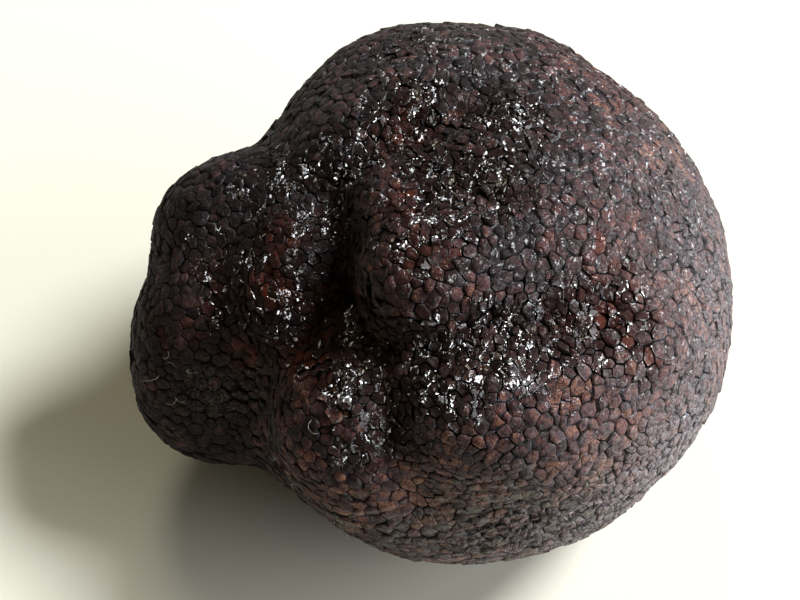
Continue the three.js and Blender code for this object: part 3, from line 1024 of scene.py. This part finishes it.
class TruffleThreadsSettings(bpy.types.PropertyGroup):
    thickness: length_of("Thickness", "Thickness of a thread at its root", 0.065)
    length: length_of("Length", "Usual length of a thread", 1.25)
    lift: length_of("Lift", "How far the tip of a thread may stand off the skin", 0.5)
    curl: angle_of("Curl", "How far a thread may turn along its way", 200)
    seed: bpy.props.IntProperty(name="Seed", description="Start of the random draws", default=12)
    pale_thread: colour_of("Pale thread", "Usual colour of the threads", 0.50, 0.46, 0.42)
    dark_thread: colour_of("Dark thread", "Colour of their stained stretches", 0.16, 0.13, 0.11)


class TruffleStageSettings(bpy.types.PropertyGroup):
    floor: colour_of("Floor", "Colour of the plain floor", 0.80, 0.785, 0.665)
    floor_width: length_of("Floor width", "Width of the plain floor", 3000)
    lens: bpy.props.FloatProperty(name="Lens", description="Focal length", default=100, unit="CAMERA")
    elevation: angle_of("Elevation", "Angle of the view above level", 55)
    lamp_power: strength_of("Lamp power", "Strength of the soft light above the right side", 4.4)
    lamp_breadth: angle_of("Lamp breadth", "How wide the soft light looks from the truffle", 19)
    window_power: strength_of("Window power", "Strength of the broad low light at the right", 3.1)
    window_breadth: angle_of("Window breadth", "How wide the low light looks from the truffle", 50)
    fill_power: strength_of("Fill power", "Strength of the high light above the far side", 0.5)
    fill_breadth: angle_of("Fill breadth", "How wide the high light looks from the truffle", 17)
    sky: strength_of("Sky", "Strength of the light from all round", 0.05)
    sky_colour: colour_of("Sky colour", "Tint of the light from all round", 1.0, 0.80, 0.40)
    backdrop: colour_of("Backdrop", "Plain backdrop behind the floor", 1.0, 1.0, 0.95)


# ---- Operators ----

class TRUFFLE_OT_skin(bpy.types.Operator):
    """Build the warty skin that stands for the CAD body"""

    bl_idname = "truffle.skin"
    bl_label = "Truffle Skin"

    def execute(self, context):
        settings = context.scene.truffle_skin
        rng = np.random.default_rng(settings.seed)

        def clearance_at(directions):
            creased = spots(directions, CREASE_SPOTS)
            tight = 1 - WET_CLOSER * wetness(directions) - CREASED_CLOSER * creased
            clearances = settings.wart_size / MM * tight * rng.uniform(*WART_GAPS, len(directions))
            even = np.ones_like(creased)
            return clearances[:, None] * np.stack((even, even, 1 - CREASED_FLATTER * creased), axis=1)

        mesh = cell_mesh(throw_darts(rng, WART_DARTS, clearance_at))
        measures = shape_skin(mesh, settings, rng)
        skin = finish_mesh(mesh, SKIN, skin_material(settings), heart_place())
        wet = measures["wet"]
        for face in skin.data.polygons:
            face.use_smooth = wet[list(face.vertices)].mean() < FACETED
        for name, values in measures.items():
            layer = skin.data.attributes.new(name, "FLOAT", "POINT")
            layer.data.foreach_set("value", values.astype(np.float32))
        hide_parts(NODE)
        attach(skin, BODY)
        return {"FINISHED"}


class TRUFFLE_OT_threads(bpy.types.Operator):
    """Lay the pale threads on the finished skin"""

    bl_idname = "truffle.threads"
    bl_label = "Truffle Threads"

    def execute(self, context):
        settings = context.scene.truffle_threads
        skin = context.scene.objects.get(SKIN)
        if skin is None:
            raise RuntimeError("The threads lie on the skin, so build the skin first")
        mesh = bmesh.new()
        heart = heart_place()
        shape_threads(mesh, settings, skin, heart)
        threads = finish_mesh(mesh, "truffle_threads", thread_material(settings), heart)
        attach(threads, BODY)
        return {"FINISHED"}


class TRUFFLE_OT_stage(bpy.types.Operator):
    """Add the plain floor, the soft lights and the camera"""

    bl_idname = "truffle.stage"
    bl_label = "Truffle Stage"

    def execute(self, context):
        settings = context.scene.truffle_stage
        scene = context.scene
        heart = heart_place()
        self.add_floor(settings)
        for light in LIGHTS:
            self.add_light(settings, *light)
        self.add_sky(scene, settings)
        self.add_camera(scene, settings, heart)
        scene.view_settings.view_transform = "Standard"
        return {"FINISHED"}

    def add_floor(self, settings):
        mesh = bmesh.new()
        bmesh.ops.create_grid(mesh, x_segments=1, y_segments=1, size=settings.floor_width / 2)
        material, tree, shader = new_material("floor")
        feed(tree, shader, {"Base Color": settings.floor, "Roughness": 0.55})
        floor = add_mesh_object("floor", mesh, material)
        floor.location.z = CAD_BOX[0][2] - FLOOR_CLEARANCE * MM

    def add_light(self, settings, name, bearing, height, tint):
        lamp = bpy.data.lights.new(name, "SUN")
        lamp.angle = getattr(settings, name + "_breadth")
        lamp.energy = getattr(settings, name + "_power")
        lamp.color = tint
        light = add_object(name, lamp)
        light.location = LIGHT_DISTANCE * Vector(toward(bearing, height))
        light.rotation_euler = light.location.to_track_quat("Z", "Y").to_euler()

    def add_sky(self, scene, settings):
        """Warm dim light from all round, behind which the camera sees a plain pale backdrop."""
        world = bpy.data.worlds.new("sky")
        world.use_nodes = True
        tree = world.node_tree
        glow = tree.nodes["Background"]
        feed(tree, glow, {"Color": settings.sky_colour, "Strength": settings.sky})
        backdrop = add_node(tree, "ShaderNodeBackground", {"Color": settings.backdrop})
        seen = add_node(tree, "ShaderNodeLightPath").outputs["Is Camera Ray"]
        both = add_node(tree, "ShaderNodeMixShader", {0: seen, 1: glow.outputs[0], 2: backdrop.outputs[0]})
        feed(tree, tree.nodes["World Output"], {"Surface": both.outputs[0]})
        scene.world = world

    def add_camera(self, scene, settings, heart):
        lens = bpy.data.cameras.new("camera")
        lens.lens = settings.lens
        lens.sensor_width = SENSOR_WIDTH
        lens.clip_start = NEAREST_SEEN
        lens.dof.use_dof = False
        camera = add_object("camera", lens)
        right = Vector((1, 0, 0))
        up = Vector((0, math.sin(settings.elevation), math.cos(settings.elevation)))
        back = right.cross(up)
        camera.location = heart + back * CAMERA_DISTANCE + right * CAMERA_ASIDE + up * CAMERA_UP
        camera.rotation_euler = Matrix((right, up, back)).transposed().to_euler()
        scene.camera = camera


GROUPS = (  # name of the settings in the scene, their class, operator
    ("truffle_skin", TruffleSkinSettings, TRUFFLE_OT_skin),
    ("truffle_threads", TruffleThreadsSettings, TRUFFLE_OT_threads),
    ("truffle_stage", TruffleStageSettings, TRUFFLE_OT_stage),
)


class TRUFFLE_PT_panel(bpy.types.Panel):
    bl_idname = "TRUFFLE_PT_panel"
    bl_label = "Black Truffle"
    bl_space_type = "VIEW_3D"
    bl_region_type = "UI"
    bl_category = "Truffle"

    def draw(self, context):
        for name, _kind, operator in GROUPS:
            box = self.layout.box()
            settings = getattr(context.scene, name)
            for key in settings.bl_rna.properties.keys():
                if key not in ("rna_type", "name"):
                    box.prop(settings, key)
            box.operator(operator.bl_idname)


def register():
    for name, kind, operator in GROUPS:
        bpy.utils.register_class(kind)
        setattr(bpy.types.Scene, name, bpy.props.PointerProperty(type=kind))
        bpy.utils.register_class(operator)
    bpy.utils.register_class(TRUFFLE_PT_panel)


def unregister():
    bpy.utils.unregister_class(TRUFFLE_PT_panel)
    for name, kind, operator in reversed(GROUPS):
        bpy.utils.unregister_class(operator)
        delattr(bpy.types.Scene, name)
        bpy.utils.unregister_class(kind)


def main():
    register()
    bpy.ops.truffle.skin()
    bpy.ops.truffle.threads()
    bpy.ops.truffle.stage()


if __name__ == "__main__":
    main()
